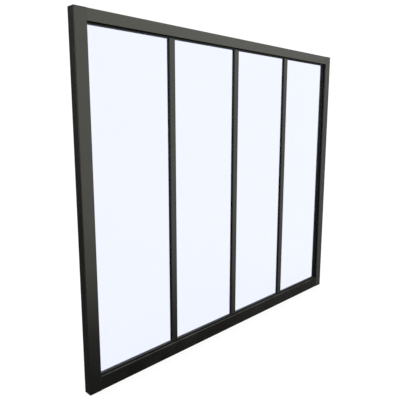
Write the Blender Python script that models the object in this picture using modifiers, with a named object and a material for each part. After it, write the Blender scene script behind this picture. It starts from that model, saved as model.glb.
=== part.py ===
"""Interior glass partition: a slim black metal frame that holds four fixed, equal panes.

Two stiles run the full height and two rails butt between them. All four are hollow extrusions with a
glazing groove along the inner face. U-shaped glazing channels sit in the grooves, and three H-shaped
mullions stand between the head channel and the sill channel. Each pane is gripped between a front and
a back gasket. Nothing moves.

Metres, +Z up. The origin is the middle of the underside, on the face that stands on a low wall or a
worktop. The front looks along -Y, and the frame is as deep behind the glass as in front of it.
"""

import math

import bmesh
import bpy

# Driving sizes of the whole partition
WIDTH = 1.300
HEIGHT = 1.080
PANES = 4

# Hollow frame extrusions: two stiles, a slimmer head rail and a taller sill rail
STILE_FACE = 0.038
HEAD_FACE = 0.033
SILL_FACE = 0.043
FRAME_DEPTH = 0.030
FRAME_WALL = 0.0015
OUTER_EDGE_RADIUS = 0.0016
INNER_EDGE_RADIUS = 0.0006

# Glazing channel: the thin U-section that stands a little proud of the frame's inner face
CHANNEL_DEPTH = 0.014
CHANNEL_LIP = 0.0014
CHANNEL_PROUD = 0.004
GLASS_POCKET = 0.0085

# Mullion: the H-section between two panes
MULLION_FACE = 0.021
MULLION_EDGE_RADIUS = 0.0010
MULLION_TONGUE = 0.003

# Glass and its gaskets
GLASS_THICKNESS = 0.005
GLASS_COVER = 0.0065
GLASS_ARRIS = 0.0006
GASKET_SHOWS = 0.0012

# Caps that close the ends of the stiles
CAP_THICKNESS = 0.002
PLUG_LENGTH = 0.010

# Fit between pieces that touch, and small rounding
SEAT = 0.0003
EDGE_RADIUS = 0.0005
ARC_STEPS = 4
FLAT_ANGLE = 0.001

# Sizes that follow from those above
GROOVE_WIDTH = CHANNEL_DEPTH + 2 * SEAT
CHANNEL_HEIGHT = CHANNEL_LIP + GLASS_POCKET
GROOVE_DEPTH = CHANNEL_HEIGHT + SEAT - CHANNEL_PROUD
SIGHT_HEIGHT = HEIGHT - SILL_FACE - HEAD_FACE - 2 * CHANNEL_PROUD
SIGHT_MIDDLE = SILL_FACE + CHANNEL_PROUD + SIGHT_HEIGHT / 2
SIGHT_WIDTH = (WIDTH - 2 * (STILE_FACE + CHANNEL_PROUD) - (PANES - 1) * MULLION_FACE) / PANES
GASKET_SPACE = CHANNEL_DEPTH / 2 - CHANNEL_LIP - GLASS_THICKNESS / 2
GASKET_THICKNESS = GASKET_SPACE - 2 * SEAT

# Local X of a section points at the glass, and local Z runs along the extrusion
UPRIGHT_LEFT = (0, 0, 0)
UPRIGHT_RIGHT = (0, 0, math.pi)
LYING_SILL = (0, -math.pi / 2, 0)
LYING_HEAD = (0, math.pi / 2, 0)
FACING_FRONT = (math.pi / 2, 0, 0)


def clear_scene():
    for obj in list(bpy.data.objects):
        bpy.data.objects.remove(obj, do_unlink=True)


def new_collection(name, hidden=False):
    collection = bpy.data.collections.new(name)
    bpy.context.scene.collection.children.link(collection)
    collection.hide_render = hidden
    return collection


def new_material(name, colour, roughness, metallic, transmission=0.0):
    material = bpy.data.materials.new(name)
    material.use_nodes = True
    shader = material.node_tree.nodes["Principled BSDF"]
    shader.inputs["Base Color"].default_value = (*colour, 1.0)
    shader.inputs["Roughness"].default_value = roughness
    shader.inputs["Metallic"].default_value = metallic
    shader.inputs["Transmission Weight"].default_value = transmission
    material.diffuse_color = (*colour, 1.0)
    return material


def rounded(corners):
    """The outline through (x, y, radius) corners, each corner turned into an arc of its radius."""
    points = []
    for index, (x, y, radius) in enumerate(corners):
        if radius == 0:
            points.append((x, y))
            continue
        before = corners[index - 1]
        after = corners[(index + 1) % len(corners)]
        inwards = unit(before[0] - x, before[1] - y)
        onwards = unit(after[0] - x, after[1] - y)
        centre = (x + radius * (inwards[0] + onwards[0]), y + radius * (inwards[1] + onwards[1]))
        for step in range(ARC_STEPS + 1):
            turn = step / ARC_STEPS * math.pi / 2
            back = radius * math.cos(turn)
            side = radius * math.sin(turn)
            points.append((
                centre[0] - onwards[0] * back - inwards[0] * side,
                centre[1] - onwards[1] * back - inwards[1] * side,
            ))
    return points


def unit(x, y):
    length = math.hypot(x, y)
    return x / length, y / length


def extrusion(name, outlines, length, location, rotation, material, collection):
    """A closed mesh that carries the outlines, the first of them filled and the rest holes, along Z."""
    curve = bpy.data.curves.new(name, "CURVE")
    curve.dimensions = "2D"
    curve.fill_mode = "BOTH"
    curve.extrude = length / 2
    for outline in outlines:
        spline = curve.splines.new("POLY")
        spline.points.add(len(outline) - 1)
        for point, (x, y) in zip(spline.points, outline):
            point.co = (x, y, 0.0, 1.0)
        spline.use_cyclic_u = True
    guide = bpy.data.objects.new(name + "_outline", curve)
    collection.objects.link(guide)
    graph = bpy.context.evaluated_depsgraph_get()
    mesh = bpy.data.meshes.new_from_object(guide.evaluated_get(graph))
    bpy.data.objects.remove(guide, do_unlink=True)
    shape = bmesh.new()
    shape.from_mesh(mesh)
    bmesh.ops.remove_doubles(shape, verts=shape.verts, dist=1e-6)
    if len(outlines) == 1:
        bmesh.ops.dissolve_limit(shape, angle_limit=FLAT_ANGLE, verts=shape.verts, edges=shape.edges)
    bmesh.ops.recalc_face_normals(shape, faces=shape.faces)
    shape.to_mesh(mesh)
    shape.free()
    mesh.name = name
    mesh.materials.clear()
    mesh.materials.append(material)
    obj = bpy.data.objects.new(name, mesh)
    obj.location = location
    obj.rotation_euler = rotation
    collection.objects.link(obj)
    return obj


def join_solid(target, tool):
    """A Boolean union that stays on the target, with the tool kept out of the render.

    Both solids are closed, which is what the manifold solver needs, and it leaves no open edge
    where a tongue or a plug comes out of a flat end.
    """
    tool.hide_render = True
    tool.display_type = "WIRE"
    union = target.modifiers.new("joined_" + tool.name, "BOOLEAN")
    union.operation = "UNION"
    union.solver = "MANIFOLD"
    union.object = tool


def frame_outline(face):
    """Outside of a frame extrusion of this face width, with the glazing groove along its inner face.

    Its inner edges are crisper than its outer ones, so that a butt joint closes to a fine line.
    """
    half = FRAME_DEPTH / 2
    groove = GROOVE_WIDTH / 2
    floor = face - GROOVE_DEPTH
    return rounded([
        (0, -half, OUTER_EDGE_RADIUS),
        (face, -half, INNER_EDGE_RADIUS),
        (face, -groove, EDGE_RADIUS),
        (floor, -groove, 0),
        (floor, groove, 0),
        (face, groove, EDGE_RADIUS),
        (face, half, INNER_EDGE_RADIUS),
        (0, half, OUTER_EDGE_RADIUS),
    ])


def hollow_outline(face, clearance=0.0):
    """The chamber inside a frame extrusion, drawn in by a clearance for the plug that enters it."""
    inset = FRAME_WALL + clearance
    inner = face - inset
    half = FRAME_DEPTH / 2 - inset
    groove = GROOVE_WIDTH / 2 + inset
    floor = face - GROOVE_DEPTH - inset
    return rounded([
        (inset, -half, EDGE_RADIUS),
        (inner, -half, EDGE_RADIUS),
        (inner, -groove, 0),
        (floor, -groove, 0),
        (floor, groove, 0),
        (inner, groove, 0),
        (inner, half, EDGE_RADIUS),
        (inset, half, EDGE_RADIUS),
    ])


def cap_outline():
    half = FRAME_DEPTH / 2
    return rounded([
        (0, -half, OUTER_EDGE_RADIUS),
        (STILE_FACE, -half, INNER_EDGE_RADIUS),
        (STILE_FACE, half, INNER_EDGE_RADIUS),
        (0, half, OUTER_EDGE_RADIUS),
    ])


def channel_outline():
    """The U-section, from the back of its web at X = 0 to the rounded ends of its two lips."""
    outside = CHANNEL_DEPTH / 2
    inside = outside - CHANNEL_LIP
    return rounded([
        (0, -outside, 0),
        (CHANNEL_HEIGHT, -outside, EDGE_RADIUS),
        (CHANNEL_HEIGHT, -inside, 0),
        (CHANNEL_LIP, -inside, 0),
        (CHANNEL_LIP, inside, 0),
        (CHANNEL_HEIGHT, inside, 0),
        (CHANNEL_HEIGHT, outside, EDGE_RADIUS),
        (0, outside, 0),
    ])


def mullion_outline():
    """The H-section: a front and a back flange on a thin web, with a glass pocket on each side."""
    face = MULLION_FACE / 2
    web = face - GLASS_POCKET
    outside = CHANNEL_DEPTH / 2
    inside = outside - CHANNEL_LIP
    return rounded([
        (-face, -outside, MULLION_EDGE_RADIUS),
        (face, -outside, MULLION_EDGE_RADIUS),
        (face, -inside, 0),
        (web, -inside, 0),
        (web, inside, 0),
        (face, inside, 0),
        (face, outside, MULLION_EDGE_RADIUS),
        (-face, outside, MULLION_EDGE_RADIUS),
        (-face, inside, 0),
        (-web, inside, 0),
        (-web, -inside, 0),
        (-face, -inside, 0),
    ])


def rectangle(width, height):
    return [(sx * width / 2, sy * height / 2) for sx, sy in ((-1, -1), (1, -1), (1, 1), (-1, 1))]


def pane_centre(index):
    """X of the middle of a pane, counted from the left."""
    return (index - (PANES - 1) / 2) * (SIGHT_WIDTH + MULLION_FACE)


def build_frame(parts, finish):
    """Full-height stiles with butted rails between them."""
    stile_length = HEIGHT - 2 * (CAP_THICKNESS + SEAT)
    rail_length = WIDTH - 2 * (STILE_FACE + SEAT)
    members = (
        ("left_stile", STILE_FACE, stile_length, (-WIDTH / 2, 0, HEIGHT / 2), UPRIGHT_LEFT),
        ("right_stile", STILE_FACE, stile_length, (WIDTH / 2, 0, HEIGHT / 2), UPRIGHT_RIGHT),
        ("bottom_rail", SILL_FACE, rail_length, (0, 0, 0), LYING_SILL),
        ("top_rail", HEAD_FACE, rail_length, (0, 0, HEIGHT), LYING_HEAD),
    )
    for name, face, length, location, rotation in members:
        section = [frame_outline(face), hollow_outline(face)]
        extrusion(name, section, length, location, rotation, finish, parts)


def build_caps(parts, tools, finish):
    """A plate on each end of a stile, with a plug that fills the mouth of the chamber."""
    plug_root = CAP_THICKNESS / 2
    plug_outline = hollow_outline(STILE_FACE, SEAT)
    for side, x, rotation in (("left", -WIDTH / 2, UPRIGHT_LEFT), ("right", WIDTH / 2, UPRIGHT_RIGHT)):
        for end, z, inwards in (("bottom", 0, 1), ("top", HEIGHT, -1)):
            name = f"{side}_stile_{end}_cap"
            plate_z = z + inwards * CAP_THICKNESS / 2
            plug_z = z + inwards * (plug_root + PLUG_LENGTH) / 2
            cap = extrusion(name, [cap_outline()], CAP_THICKNESS, (x, 0, plate_z), rotation, finish, parts)
            plug = extrusion(
                name + "_plug", [plug_outline], PLUG_LENGTH - plug_root, (x, 0, plug_z), rotation, finish,
                tools,
            )
            join_solid(cap, plug)


def build_channels(parts, finish):
    """The sill and head channels run from stile to stile, and the side channels stand between them."""
    sunk = GROOVE_DEPTH - SEAT
    across = WIDTH - 2 * (STILE_FACE + SEAT)
    upright = SIGHT_HEIGHT - 2 * SEAT
    side_x = WIDTH / 2 - STILE_FACE + sunk
    members = (
        ("sill_channel", across, (0, 0, SILL_FACE - sunk), LYING_SILL),
        ("head_channel", across, (0, 0, HEIGHT - HEAD_FACE + sunk), LYING_HEAD),
        ("left_channel", upright, (-side_x, 0, SIGHT_MIDDLE), UPRIGHT_LEFT),
        ("right_channel", upright, (side_x, 0, SIGHT_MIDDLE), UPRIGHT_RIGHT),
    )
    for name, length, location, rotation in members:
        extrusion(name, [channel_outline()], length, location, rotation, finish, parts)


def build_mullions(parts, tools, finish):
    """H-bars between the panes. A tongue at each end enters the channel and keeps the bar in line."""
    length = SIGHT_HEIGHT - 2 * SEAT
    tongue_length = SIGHT_HEIGHT + 2 * (GLASS_POCKET - SEAT)
    tongue_depth = CHANNEL_DEPTH - 2 * (CHANNEL_LIP + SEAT)
    for index in range(PANES - 1):
        x = (pane_centre(index) + pane_centre(index + 1)) / 2
        name = f"mullion_{index + 1}"
        place = (x, 0, SIGHT_MIDDLE)
        bar = extrusion(name, [mullion_outline()], length, place, UPRIGHT_LEFT, finish, parts)
        tongue = extrusion(
            name + "_tongue", [rectangle(MULLION_TONGUE, tongue_depth)], tongue_length, place,
            UPRIGHT_LEFT, finish, tools,
        )
        join_solid(bar, tongue)


def build_panes(parts, glass, rubber):
    """Each pane with a front and a back gasket that show as a fine black line round the sight edge."""
    width = SIGHT_WIDTH + 2 * GLASS_COVER
    height = SIGHT_HEIGHT + 2 * GLASS_COVER
    opening = rectangle(SIGHT_WIDTH - 2 * GASKET_SHOWS, SIGHT_HEIGHT - 2 * GASKET_SHOWS)
    offset = GLASS_THICKNESS / 2 + GASKET_SPACE / 2
    for index in range(PANES):
        x = pane_centre(index)
        pane = extrusion(
            f"glass_pane_{index + 1}", [rectangle(width, height)], GLASS_THICKNESS, (x, 0, SIGHT_MIDDLE),
            FACING_FRONT, glass, parts,
        )
        arris = pane.modifiers.new("arris", "BEVEL")
        arris.width = GLASS_ARRIS
        arris.segments = 1
        for side, y in (("front", -offset), ("back", offset)):
            extrusion(
                f"{side}_gasket_{index + 1}", [rectangle(width, height), opening], GASKET_THICKNESS,
                (x, y, SIGHT_MIDDLE), FACING_FRONT, rubber, parts,
            )


def main():
    clear_scene()
    parts = new_collection("glass_partition")
    tools = new_collection("joining_solids", hidden=True)
    coat = new_material("black_powder_coat", (0.020, 0.020, 0.019), 0.42, 0.0)
    cap_plastic = new_material("black_cap_plastic", (0.018, 0.018, 0.018), 0.50, 0.0)
    glass = new_material("clear_glass", (0.90, 0.95, 1.00), 0.02, 0.0, transmission=1.0)
    rubber = new_material("gasket_rubber", (0.010, 0.010, 0.010), 0.75, 0.0)
    build_frame(parts, coat)
    build_caps(parts, tools, cap_plastic)
    build_channels(parts, coat)
    build_mullions(parts, tools, coat)
    build_panes(parts, glass, rubber)


main()
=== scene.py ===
import math
import bmesh
import bpy
from mathutils import Matrix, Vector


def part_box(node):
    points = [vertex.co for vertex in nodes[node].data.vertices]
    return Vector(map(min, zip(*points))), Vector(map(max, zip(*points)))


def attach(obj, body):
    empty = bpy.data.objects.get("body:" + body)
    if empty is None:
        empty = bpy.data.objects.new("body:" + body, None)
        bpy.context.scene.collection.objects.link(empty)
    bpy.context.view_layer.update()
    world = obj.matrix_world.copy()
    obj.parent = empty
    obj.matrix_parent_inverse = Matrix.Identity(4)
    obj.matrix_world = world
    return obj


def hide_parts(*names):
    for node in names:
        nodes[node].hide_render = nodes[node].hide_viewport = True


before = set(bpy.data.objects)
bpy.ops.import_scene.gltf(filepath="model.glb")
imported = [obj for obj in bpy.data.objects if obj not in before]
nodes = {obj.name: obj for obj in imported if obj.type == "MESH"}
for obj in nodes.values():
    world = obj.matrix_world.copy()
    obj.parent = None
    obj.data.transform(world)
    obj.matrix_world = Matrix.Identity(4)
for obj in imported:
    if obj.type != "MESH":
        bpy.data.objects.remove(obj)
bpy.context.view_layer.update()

# The two stiles are full-height hollow steel tubes, 38 mm wide on the face and 30 mm deep. The whole
# frame is powder coated satin black once it is welded. The coat has a fine orange peel, faint draw
# lines along each tube, and a little dust on what faces up.
COAT_BLACK = (0.0055, 0.0055, 0.0048)
COAT_WORN = (0.0080, 0.0080, 0.0070)
COAT_DUST = (0.085, 0.083, 0.076)
COAT_SHEEN = (1.0, 1.0, 0.88)
COAT_ROUGHNESS = (0.21, 0.29)
CLOUD_SIZE = 0.090
PEEL_SIZE = 0.0022
PEEL_HEIGHT = 0.00006
PEEL_STRENGTH = 0.35
GRAIN_SIZE = 0.00045
GRAIN_SHARE = 0.35
DRAW_LINE_SIZE = 0.0016
DRAW_LINE_STRETCH = 0.012
DRAW_LINE_SPREAD = (0.35, 0.75)
DUST_FACING_UP = (0.6, 1.0)
DUST_PATCH_SPREAD = (0.40, 0.62)
DUST_BETWEEN_PATCHES = 0.5
NOISE_SPREAD = (0.3, 0.7)
NOISE_ROUGHNESS = 0.55


def new_material(name):
    """A node material, with its node tree and its Principled shader."""
    material = bpy.data.materials.new(name)
    material.use_nodes = True
    return material, material.node_tree, material.node_tree.nodes["Principled BSDF"]


def place_on_piece(tree):
    """The place on the partition, in metres, which stays the same on every piece."""
    return tree.nodes.new("ShaderNodeTexCoord").outputs["Object"]


def noise(tree, place, size, detail):
    """A noise whose blobs are about size metres across."""
    node = tree.nodes.new("ShaderNodeTexNoise")
    node.inputs["Scale"].default_value = 1 / size
    node.inputs["Detail"].default_value = detail
    node.inputs["Roughness"].default_value = NOISE_ROUGHNESS
    tree.links.new(place, node.inputs["Vector"])
    return node.outputs["Fac"]


def ranged(tree, value, spread, low, high):
    """Maps the value from the two ends of spread to low and high, and holds it there beyond them."""
    node = tree.nodes.new("ShaderNodeMapRange")
    node.inputs["From Min"].default_value = spread[0]
    node.inputs["From Max"].default_value = spread[1]
    node.inputs["To Min"].default_value = low
    node.inputs["To Max"].default_value = high
    tree.links.new(value, node.inputs["Value"])
    return node.outputs["Result"]


def joined(tree, operation, first, second):
    """One value made of two by an operation such as ADD or MULTIPLY."""
    node = tree.nodes.new("ShaderNodeMath")
    node.operation = operation
    tree.links.new(first, node.inputs[0])
    tree.links.new(second, node.inputs[1])
    return node.outputs["Value"]


def blended(tree, factor, first, second):
    """The colour first where factor is 0 and second where it is 1. Either may be a socket."""
    node = tree.nodes.new("ShaderNodeMix")
    node.data_type = "RGBA"
    tree.links.new(factor, node.inputs["Factor"])
    for socket, colour in ((node.inputs[6], first), (node.inputs[7], second)):
        if isinstance(colour, tuple):
            socket.default_value = (*colour, 1)
        else:
            tree.links.new(colour, socket)
    return node.outputs[2]


def add_relief(tree, shader, relief, strength, height):
    """Gives the surface a relief too fine to model, up to height metres high."""
    bump = tree.nodes.new("ShaderNodeBump")
    bump.inputs["Strength"].default_value = strength
    bump.inputs["Distance"].default_value = height
    tree.links.new(relief, bump.inputs["Height"])
    tree.links.new(bump.outputs["Normal"], shader.inputs["Normal"])


def powder_coat(name, along, gloss=0.5, dust_and_light_on_top=0.6, dust_all_round=0.0):
    """Satin black powder coat, with its draw lines along the axis X or Z."""
    material, tree, shader = new_material(name)
    shader.inputs["Specular IOR Level"].default_value = gloss
    shader.inputs["Specular Tint"].default_value = (*COAT_SHEEN, 1)
    place = place_on_piece(tree)
    clouds = noise(tree, place, CLOUD_SIZE, detail=3)
    peel = noise(tree, place, PEEL_SIZE, detail=2)
    grain = noise(tree, place, GRAIN_SIZE, detail=1)
    stretched = tree.nodes.new("ShaderNodeMapping")
    stretched.inputs["Scale"].default_value = [
        DRAW_LINE_STRETCH if axis == along else 1 for axis in "XYZ"
    ]
    tree.links.new(place, stretched.inputs["Vector"])
    draw_lines = noise(tree, stretched.outputs["Vector"], DRAW_LINE_SIZE, detail=2)

    streaks = ranged(tree, draw_lines, DRAW_LINE_SPREAD, 0, 1)
    bare_coat = blended(tree, streaks, COAT_BLACK, COAT_WORN)
    # Dust lies on what faces up. Where a piece takes more on top than usual, as the bottom rail does,
    # the extra is partly a painted highlight as well as dust.
    facing = tree.nodes.new("ShaderNodeSeparateXYZ")
    tree.links.new(tree.nodes.new("ShaderNodeNewGeometry").outputs["Normal"], facing.inputs["Vector"])
    upwards = ranged(tree, facing.outputs["Z"], DUST_FACING_UP, dust_all_round, dust_and_light_on_top)
    patches = ranged(tree, clouds, DUST_PATCH_SPREAD, DUST_BETWEEN_PATCHES, 1)
    dust = joined(tree, "MULTIPLY", upwards, patches)
    tree.links.new(blended(tree, dust, bare_coat, COAT_DUST), shader.inputs["Base Color"])

    # Half of the roughness comes and goes with the clouds, and half with the orange peel.
    half_smooth, half_rough = (roughness / 2 for roughness in COAT_ROUGHNESS)
    broad = ranged(tree, clouds, NOISE_SPREAD, half_smooth, half_rough)
    fine = ranged(tree, peel, NOISE_SPREAD, half_smooth, half_rough)
    tree.links.new(joined(tree, "ADD", broad, fine), shader.inputs["Roughness"])

    grain_share = ranged(tree, grain, (0, 1), 0, GRAIN_SHARE)
    add_relief(tree, shader, joined(tree, "ADD", peel, grain_share), PEEL_STRENGTH, PEEL_HEIGHT)
    return material


def dress(material, *names):
    """Puts one finish on every face of the named pieces."""
    for name in names:
        mesh = nodes[name].data
        mesh.materials.clear()
        mesh.materials.append(material)


stile_coat = powder_coat("stile_powder_coat", "Z")
dress(stile_coat, "left_stile", "right_stile")

# A moulded cap closes each open end of a stile. It is black glass-filled nylon, pressed in by a plug,
# with the fine spark-eroded texture of its mould and a slightly duller surface than the coat.
CAP_BLACK = (0.0175, 0.0175, 0.0172)
CAP_PALE = (0.0240, 0.0240, 0.0236)
CAP_CLOUD_SIZE = 0.015
CAP_CLOUD_SPREAD = (0.35, 0.65)
CAP_ROUGHNESS = (0.48, 0.60)
MOULD_TEXTURE_SIZE = 0.0006
MOULD_TEXTURE_HEIGHT = 0.00004
MOULD_TEXTURE_STRENGTH = 0.5


def moulded_nylon():
    """Black nylon that is a shade paler in soft clouds."""
    material, tree, shader = new_material("cap_nylon")
    place = place_on_piece(tree)
    texture = noise(tree, place, MOULD_TEXTURE_SIZE, detail=2)
    clouds = ranged(tree, noise(tree, place, CAP_CLOUD_SIZE, detail=2), CAP_CLOUD_SPREAD, 0, 1)
    tree.links.new(blended(tree, clouds, CAP_BLACK, CAP_PALE), shader.inputs["Base Color"])
    tree.links.new(ranged(tree, texture, NOISE_SPREAD, *CAP_ROUGHNESS), shader.inputs["Roughness"])
    add_relief(tree, shader, texture, MOULD_TEXTURE_STRENGTH, MOULD_TEXTURE_HEIGHT)
    return material


nylon = moulded_nylon()
dress(nylon, "left_stile_bottom_cap", "left_stile_top_cap")
dress(nylon, "right_stile_bottom_cap", "right_stile_top_cap")

# The top and bottom rails are tubes of the same kind that butt between the stiles, so their draw lines
# run level. The top rail's coat has more sheen as a painted highlight, as if it were lit more from
# above.
# The bottom rail's coat has little sheen as painted shade, darker near the floor. It also has more dust,
# partly real dust and partly a painted highlight on its ledge, which faces the light above.
TOP_RAIL_LIT_GLOSS = 0.56
BOTTOM_RAIL_SHADE_GLOSS = 0.08
BOTTOM_RAIL_DUST_AND_LIGHT = 0.95
BOTTOM_RAIL_DUST_ALL_ROUND = 0.15

top_coat = powder_coat("top_rail_powder_coat", "X", TOP_RAIL_LIT_GLOSS)
dress(top_coat, "top_rail")
bottom_coat = powder_coat(
    "bottom_rail_powder_coat", "X", BOTTOM_RAIL_SHADE_GLOSS, BOTTOM_RAIL_DUST_AND_LIGHT, BOTTOM_RAIL_DUST_ALL_ROUND
)
dress(bottom_coat, "bottom_rail")

# Each rail end is welded to its stile in front and behind. The welds are ground almost flush before the
# coat goes on, so that only a faint, slightly crowned bead covers the joint.
WELD_WIDTH = 0.0020
WELD_THICKNESS = 0.0012
WELD_CROWN = 0.00005
WELD_ROUNDING = 0.0005
WELD_ROUNDING_STEPS = 5
SMOOTH_BELOW = math.radians(40)


def select_where(piece, kind, wanted):
    """In edit mode, selects each EDGE or FACE whose corners all pass the test wanted."""
    bpy.ops.mesh.select_mode(type=kind)
    bpy.ops.mesh.select_all(action="DESELECT")
    shape = bmesh.from_edit_mesh(piece.data)
    for element in shape.edges if kind == "EDGE" else shape.faces:
        if all(wanted(vertex.co) for vertex in element.verts):
            element.select_set(True)
    bmesh.update_edit_mesh(piece.data)


def finish_piece(piece, name, material):
    """Names a piece, gives it its finish and fixes it to the frame."""
    piece.name = name
    piece.data.name = name
    piece.data.materials.clear()
    piece.data.materials.append(material)
    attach(piece, "root")


def copied(piece, turn, move):
    """A copy of the piece with a mesh of its own, turned about the upright axis and then moved."""
    twin = piece.copy()
    twin.data = piece.data.copy()
    bpy.context.scene.collection.objects.link(twin)
    twin.data.transform(Matrix.Translation(move) @ Matrix.Rotation(turn, 4, "Z"))
    return twin


def corner_weld(rail):
    """The front bead at the left end of a rail."""
    low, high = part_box(rail)
    stile_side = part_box("left_stile")[1][0]
    front = low[1] - WELD_CROWN
    middle = front + WELD_THICKNESS / 2
    bottom = low[2] + WELD_ROUNDING
    top = high[2] - WELD_ROUNDING
    bpy.ops.mesh.primitive_cube_add(
        size=1,
        location=((stile_side + low[0]) / 2, middle, (bottom + top) / 2),
        scale=(WELD_WIDTH, WELD_THICKNESS, top - bottom),
    )
    bead = bpy.context.object
    bpy.ops.object.transform_apply(location=True, rotation=True, scale=True)
    bpy.ops.object.mode_set(mode="EDIT")
    select_where(bead, "EDGE", lambda point: point.y < middle)
    bpy.ops.mesh.bevel(offset=WELD_ROUNDING, segments=WELD_ROUNDING_STEPS)
    bpy.ops.object.mode_set(mode="OBJECT")
    bpy.ops.object.shade_smooth_by_angle(angle=SMOOTH_BELOW)
    return bead


bpy.ops.object.select_all(action="DESELECT")
for rail in ("top_rail", "bottom_rail"):
    weld = corner_weld(rail)
    across_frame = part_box(rail)[1][0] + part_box("right_stile")[0][0]
    right_weld = copied(weld, 0, (across_frame, 0, 0))
    welds = {
        "left_front": weld,
        "right_front": right_weld,
        "right_back": copied(weld, math.pi, (0, 0, 0)),
        "left_back": copied(right_weld, math.pi, (0, 0, 0)),
    }
    for corner, bead in welds.items():
        finish_piece(bead, f"{rail}_{corner}_weld", stile_coat)

# Four thin U-shaped glazing channels line the opening and show 4 mm past the tubes. They are folded
# from sheet and sit in the grooves along the tubes. Their coat is given little sheen as painted shade,
# so that they read as a black line of shade between the satin tubes and the glass.
CHANNEL_SHADE_GLOSS = 0.08
CHANNEL_DUST = 0.15

level_channel_coat = powder_coat("level_channel_coat", "X", CHANNEL_SHADE_GLOSS, CHANNEL_DUST)
dress(level_channel_coat, "sill_channel", "head_channel")
upright_channel_coat = powder_coat("upright_channel_coat", "Z", CHANNEL_SHADE_GLOSS, CHANNEL_DUST)
dress(upright_channel_coat, "left_channel", "right_channel")

# Three H-section steel mullions stand between the head and sill channels, each held by a tongue at
# both ends. Their faces lie in the plane of the channels and are 21 mm wide.
MULLION_GLOSS = 0.44

dress(powder_coat("mullion_coat", "Z", MULLION_GLOSS), "mullion_1", "mullion_2", "mullion_3")

# Four panes of 5 mm clear float glass with ground edges stand in the pockets of the channels and the
# mullions. The faint cool tint is the glass's own, and the surface has the long, shallow waviness of
# float glass.
GLASS_TINT = (0.850, 0.884, 1.0)
GLASS_TINT_DEEP = (0.844, 0.879, 0.998)
GLASS_IOR = 1.5
WAVE_SIZE = 0.16
WAVE_SPREAD = (0.35, 0.65)
WAVE_HEIGHT = 0.001
WAVE_STRENGTH = 0.02
PANES = 4


def float_glass():
    """Clear glass that bends and mirrors light. Lamp light and what the coat mirrors pass straight."""
    material, tree, shader = new_material("float_glass")
    waves = noise(tree, place_on_piece(tree), WAVE_SIZE, detail=2)
    tint = blended(tree, ranged(tree, waves, WAVE_SPREAD, 0, 1), GLASS_TINT, GLASS_TINT_DEEP)
    tree.links.new(tint, shader.inputs["Base Color"])
    shader.inputs["Roughness"].default_value = 0
    shader.inputs["IOR"].default_value = GLASS_IOR
    shader.inputs["Transmission Weight"].default_value = 1
    add_relief(tree, shader, waves, WAVE_STRENGTH, WAVE_HEIGHT)

    clear_shader = tree.nodes.new("ShaderNodeBsdfTransparent")
    clear_shader.inputs["Color"].default_value = (*GLASS_TINT, 1)
    glass, clear = shader.outputs["BSDF"], clear_shader.outputs["BSDF"]
    path = tree.nodes.new("ShaderNodeLightPath")

    def unless(ray, usual, instead):
        """The usual shader, except to rays of one kind, which meet the other one instead."""
        mix = tree.nodes.new("ShaderNodeMixShader")
        tree.links.new(path.outputs[ray], mix.inputs["Fac"])
        tree.links.new(usual, mix.inputs[1])
        tree.links.new(instead, mix.inputs[2])
        return mix.outputs["Shader"]

    mirrored = unless("Is Singular Ray", clear, glass)
    seen = unless("Is Glossy Ray", glass, mirrored)
    surface = unless("Is Shadow Ray", seen, clear)
    tree.links.new(surface, tree.nodes["Material Output"].inputs["Surface"])
    return material


dress(float_glass(), *(f"glass_pane_{pane}" for pane in range(1, PANES + 1)))

# Each pane is gripped between a front and a back gasket of black rubber, mitred at its corners. A wedge
# sits behind the metal lip, and a rounded nose beside the lip lines the glass as a fine dark bead.
RUBBER_BLACK = (0.0040, 0.0040, 0.0041)
RUBBER_BLOOM = (0.0085, 0.0085, 0.0087)
RUBBER_GLOSS = 0.28
RUBBER_ROUGHNESS = (0.30, 0.40)
BLOOM_SIZE = 0.012
BLOOM_SPREAD = (0.45, 0.70)
SKIN_SIZE = 0.0004
SKIN_HEIGHT = 0.00003
SKIN_STRENGTH = 0.4
NOSE_SHOWS = 0.0020
NOSE_RADIUS = 0.0015
NOSE_ROUNDING_STEPS = 6
NOSE_SET_BACK = 0.0002
LIP_THICKNESS = 0.0014
GASKET_CLEARANCE = 0.00005


def glazing_rubber():
    """Dull black rubber with a faint grey bloom."""
    material, tree, shader = new_material("glazing_rubber")
    shader.inputs["Specular IOR Level"].default_value = RUBBER_GLOSS
    place = place_on_piece(tree)
    bloom = ranged(tree, noise(tree, place, BLOOM_SIZE, detail=3), BLOOM_SPREAD, 0, 1)
    skin = noise(tree, place, SKIN_SIZE, detail=2)
    tree.links.new(blended(tree, bloom, RUBBER_BLACK, RUBBER_BLOOM), shader.inputs["Base Color"])
    tree.links.new(ranged(tree, skin, NOISE_SPREAD, *RUBBER_ROUGHNESS), shader.inputs["Roughness"])
    add_relief(tree, shader, skin, SKIN_STRENGTH, SKIN_HEIGHT)
    return material


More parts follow.
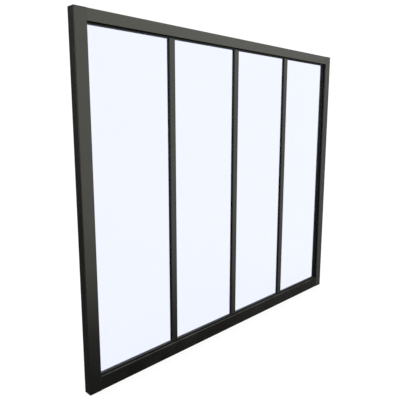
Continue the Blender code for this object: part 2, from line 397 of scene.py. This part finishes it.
def shaped_gasket():
    """The front gasket of the first pane: a mitred ring from the glass to the channel's lip."""
    low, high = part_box("front_gasket_1")
    lip_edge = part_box("left_channel")[1][0]
    lip_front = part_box("left_channel")[0][1]
    front = lip_front + LIP_THICKNESS + GASKET_CLEARANCE
    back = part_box("glass_pane_1")[0][1] - GASKET_CLEARANCE
    wedge = lip_edge - low[0] + GASKET_CLEARANCE
    nose_length = front - lip_front - NOSE_SET_BACK

    def further_in(point, reach):
        """Whether a point is in front, and at least reach in from the outer edges of the ring."""
        return (
            point.y < (front + back) / 2
            and low[0] + reach < point.x < high[0] - reach
            and low[2] + reach < point.z < high[2] - reach
        )

    def on_nose_edge(point):
        """Whether a point is on the free edge of the nose, in front and beside the glass."""
        return further_in(point, wedge + NOSE_SHOWS / 2) and point.y < front - nose_length / 2

    bpy.ops.mesh.primitive_plane_add(
        size=1,
        location=((low[0] + high[0]) / 2, back, (low[2] + high[2]) / 2),
        rotation=(math.pi / 2, 0, 0),
    )
    ring = bpy.context.object
    ring.scale = (high[0] - low[0], high[2] - low[2], 1)
    bpy.ops.object.transform_apply(location=True, rotation=True, scale=True)
    bpy.ops.object.mode_set(mode="EDIT")
    bpy.ops.mesh.select_all(action="SELECT")
    bpy.ops.mesh.inset(thickness=wedge)
    bpy.ops.mesh.inset(thickness=NOSE_SHOWS)
    bpy.ops.mesh.delete(type="FACE")
    bpy.ops.mesh.select_all(action="SELECT")
    bpy.ops.mesh.extrude_region_move(TRANSFORM_OT_translate={"value": (0, front - back, 0)})
    select_where(ring, "FACE", lambda point: further_in(point, wedge - GASKET_CLEARANCE))
    bpy.ops.mesh.extrude_region_move(TRANSFORM_OT_translate={"value": (0, -nose_length, 0)})
    bpy.ops.mesh.select_all(action="SELECT")
    bpy.ops.mesh.normals_make_consistent(inside=False)
    select_where(ring, "EDGE", on_nose_edge)
    bpy.ops.mesh.bevel(offset=NOSE_RADIUS, segments=NOSE_ROUNDING_STEPS)
    bpy.ops.object.mode_set(mode="OBJECT")
    bpy.ops.object.shade_smooth_by_angle(angle=SMOOTH_BELOW)
    return ring


rubber = glazing_rubber()
first_gasket = shaped_gasket()
pane_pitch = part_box("glass_pane_2")[0][0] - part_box("glass_pane_1")[0][0]
gaskets = {"front_gasket_1": first_gasket}
for pane in range(2, PANES + 1):
    gaskets[f"front_gasket_{pane}"] = copied(first_gasket, 0, ((pane - 1) * pane_pitch, 0, 0))
for pane in range(1, PANES + 1):
    opposite = gaskets[f"front_gasket_{PANES + 1 - pane}"]
    gaskets[f"back_gasket_{pane}"] = copied(opposite, math.pi, (0, 0, 0))
for name, gasket in gaskets.items():
    finish_piece(gasket, "shaped_" + name, rubber)
    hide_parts(name)

# The studio is a plain pale floor in a white room, which is plain white to the eye and in the glass. The
# satin coat mirrors soft walls instead: bright in front, patchy beside and behind, dark underneath.
FLOOR_SIZE = 400
FLOOR_DROP = 0.0003
FLOOR_PALE = (0.17, 0.17, 0.17)
FLOOR_GLOW = 0.858
ROOM_WHITE = 1.05
ROOM_FILL_ABOVE = 1.12
ROOM_FILL_BELOW = 0.10
HORIZON_SPREAD = (-0.02, 0.02)
FRONT_DIRECTION = (-0.42, -0.91, 0.0)
# Each wall is two lists of places and their brightness. Across, 1 lies where FRONT_DIRECTION points
# and -1 behind. Upwards, 1 lies overhead and -1 underfoot.
FRONT_ACROSS = (
    (-0.93, 1.6), (-0.80, 0.0), (-0.10, 0.0), (0.07, 0.62), (0.16, 0.92),
    (0.26, 1.25), (0.39, 1.62), (0.56, 1.66), (0.74, 1.60), (0.84, 0.30),
)
FRONT_UPWARDS = (
    (-0.48, 0.02), (-0.42, 0.16), (-0.35, 0.60), (-0.27, 0.92), (-0.17, 1.08), (-0.05, 1.15),
)
UPPER_ACROSS = ((-0.06, 0.0), (0.06, 0.55), (0.18, 0.45), (0.36, 0.20), (0.56, 0.0))
UPPER_UPWARDS = ((0.04, 0.0), (0.15, 1.0))
BACK_ACROSS = ((-0.50, 0.0), (-0.44, 0.15), (-0.39, 1.4), (-0.20, 1.5), (-0.10, 0.0))
BACK_UPWARDS = ((-0.40, 0.05), (-0.18, 0.08), (-0.12, 0.30), (-0.06, 1.0), (0.10, 1.2))
SIDE_ACROSS = ((-0.75, 0.085), (-0.50, 0.085), (-0.42, 0.0))
CEILING_UPWARDS = ((0.36, 0.0), (0.45, 0.80), (0.60, 1.40))
CURVE_SPAN = 2.002
PANEL_PLACE = (0, -0.6, 3.4)
PANEL_SIDE = 3.0
PANEL_POWER = 2

bpy.ops.object.select_all(action="DESELECT")
bpy.ops.mesh.primitive_plane_add(size=FLOOR_SIZE, location=(0, 0, -FLOOR_DROP))
floor = bpy.context.object
floor.name = "studio_floor"
floor_paint, _, floor_shader = new_material("floor_paint")
floor_shader.inputs["Base Color"].default_value = (*FLOOR_PALE, 1)
floor_shader.inputs["Roughness"].default_value = 1.0
floor_shader.inputs["Specular IOR Level"].default_value = 0.0
floor_shader.inputs["Emission Color"].default_value = (1, 1, 1, 1)
floor_shader.inputs["Emission Strength"].default_value = FLOOR_GLOW
floor.data.materials.append(floor_paint)
floor.visible_glossy = False
floor.visible_diffuse = False

world = bpy.data.worlds.new("studio_room")
bpy.context.scene.world = world
world.use_nodes = True
world.cycles.sampling_method = "NONE"
room = world.node_tree
direction = room.nodes.new("ShaderNodeTexCoord").outputs["Generated"]
upward = room.nodes.new("ShaderNodeSeparateXYZ")
room.links.new(direction, upward.inputs["Vector"])
height = upward.outputs["Z"]
sideways = room.nodes.new("ShaderNodeVectorMath")
sideways.operation = "DOT_PRODUCT"
sideways.inputs[1].default_value = FRONT_DIRECTION
room.links.new(direction, sideways.inputs[0])
across = sideways.outputs["Value"]


def stepped(value, steps):
    """A brightness that runs smoothly through the steps, and stays level before and after them."""
    # The curve spans a little more than -1 to 1, so that no direction falls off its end.
    curve = room.nodes.new("ShaderNodeFloatCurve")
    points = curve.mapping.curves[0].points
    top = max(brightness for place, brightness in steps)
    places = [(-1, steps[0][1]), *steps, (CURVE_SPAN / 2, steps[-1][1])]
    while len(points) < len(places):
        points.new(0.5, 0.5)
    for point, (place, brightness) in zip(points, places):
        point.location = ((place + 1) / CURVE_SPAN, brightness / top)
        point.handle_type = "AUTO_CLAMPED"
    curve.mapping.update()
    room.links.new(ranged(room, value, (-1, CURVE_SPAN - 1), 0, 1), curve.inputs["Value"])
    return ranged(room, curve.outputs["Value"], (0, 1), 0, top)


mirrored = joined(room, "ADD", stepped(height, CEILING_UPWARDS), stepped(across, SIDE_ACROSS))
for wall_across, wall_upwards in (
    (FRONT_ACROSS, FRONT_UPWARDS), (UPPER_ACROSS, UPPER_UPWARDS), (BACK_ACROSS, BACK_UPWARDS),
):
    wall = joined(room, "MULTIPLY", stepped(across, wall_across), stepped(height, wall_upwards))
    mirrored = joined(room, "ADD", mirrored, wall)
fill = ranged(room, height, HORIZON_SPREAD, ROOM_FILL_BELOW, ROOM_FILL_ABOVE)

# The coat mirrors the soft walls, and dull surfaces are lit by an even fill. The eye sees plain white,
# both straight and by way of the glass.
path = room.nodes.new("ShaderNodeLightPath")
bounced = joined(room, "ADD", path.outputs["Diffuse Depth"], path.outputs["Glossy Depth"])
unbounced = ranged(room, bounced, (0, 1), 1, 0)
in_glass = joined(room, "MULTIPLY", path.outputs["Is Singular Ray"], path.outputs["Is Glossy Ray"])
seen = joined(room, "MAXIMUM", unbounced, in_glass)
lighting = room.nodes.new("ShaderNodeMix")
room.links.new(path.outputs["Diffuse Depth"], lighting.inputs["Factor"])
room.links.new(mirrored, lighting.inputs["A"])
room.links.new(fill, lighting.inputs["B"])
room_light = room.nodes.new("ShaderNodeMix")
room.links.new(seen, room_light.inputs["Factor"])
room.links.new(lighting.outputs["Result"], room_light.inputs["A"])
room_light.inputs["B"].default_value = ROOM_WHITE
background = room.nodes["Background"]
background.inputs["Color"].default_value = (1, 1, 1, 1)
room.links.new(room_light.outputs["Result"], background.inputs["Strength"])

panel_light = bpy.data.lights.new("ceiling_panel", "AREA")
panel_light.shape = "SQUARE"
panel_light.size = PANEL_SIDE
panel_light.energy = PANEL_POWER
panel = bpy.data.objects.new("ceiling_panel", panel_light)
bpy.context.scene.collection.objects.link(panel)
panel.location = PANEL_PLACE
panel.rotation_euler = (math.atan2(-PANEL_PLACE[1], PANEL_PLACE[2]), 0, 0)

# The camera stands to the left of the partition, a little below its top, and looks across it.
# The photograph is square, so one focal length in pixels gives the lens on a 36 mm sensor.
PHOTO_SIDE = 400
FOCAL_PIXELS = 448.6
SENSOR = 36
CAMERA_PLACE = (-1.2772, -1.0816, 0.7839)
CAMERA_TURN = 45.416
CAMERA_TILT = -9.666

camera_data = bpy.data.cameras.new("photo_camera")
camera_data.sensor_width = SENSOR
camera_data.lens = FOCAL_PIXELS * SENSOR / PHOTO_SIDE
camera = bpy.data.objects.new("photo_camera", camera_data)
bpy.context.scene.collection.objects.link(camera)
camera.location = CAMERA_PLACE
camera.rotation_euler = (math.radians(90 + CAMERA_TILT), 0, -math.radians(CAMERA_TURN))
bpy.context.scene.camera = camera
bpy.context.scene.view_settings.view_transform = "Standard"
